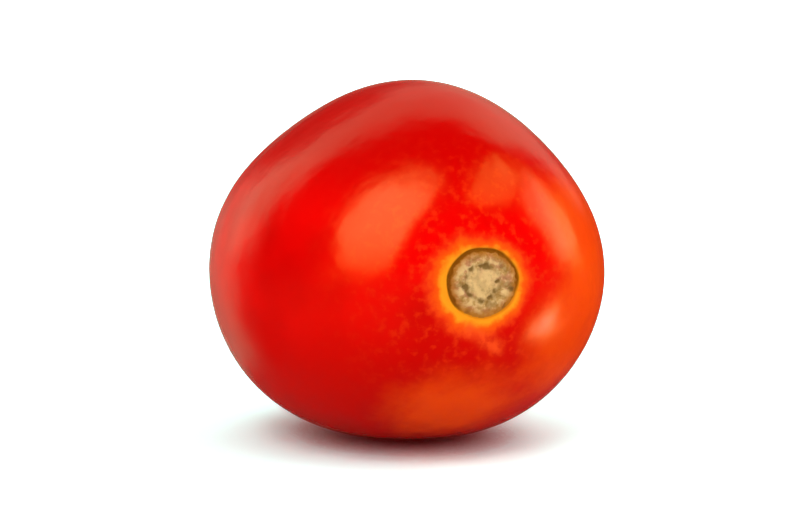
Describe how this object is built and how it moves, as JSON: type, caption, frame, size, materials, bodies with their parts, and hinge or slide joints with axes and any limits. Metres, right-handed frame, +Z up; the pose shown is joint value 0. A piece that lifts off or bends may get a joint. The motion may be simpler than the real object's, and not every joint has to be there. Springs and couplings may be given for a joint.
{
  "type": "tomato",
  "caption": "Whole ripe plum tomato lying on its side: an egg-shaped fruit with a bluntly three-sided section, a shallow dimple and a round corky stem scar.",
  "frame": {"origin": "centre of the bottom of the bounding box, on the surface that the fruit rests on", "axes": "+Z up, +Y along the fruit's long axis from the stem end (-Y) to the blossom end (+Y), +X to the right seen from the stem end"},
  "size_m": [0.0604, 0.075, 0.0562],
  "materials": {
    "skin": "smooth glossy waxy fruit skin, deep red, turning orange and yellow round a dull tan corky stem scar"
  },
  "bodies": {
    "root": {"tomato": "skin"}
  },
  "joints": []
}
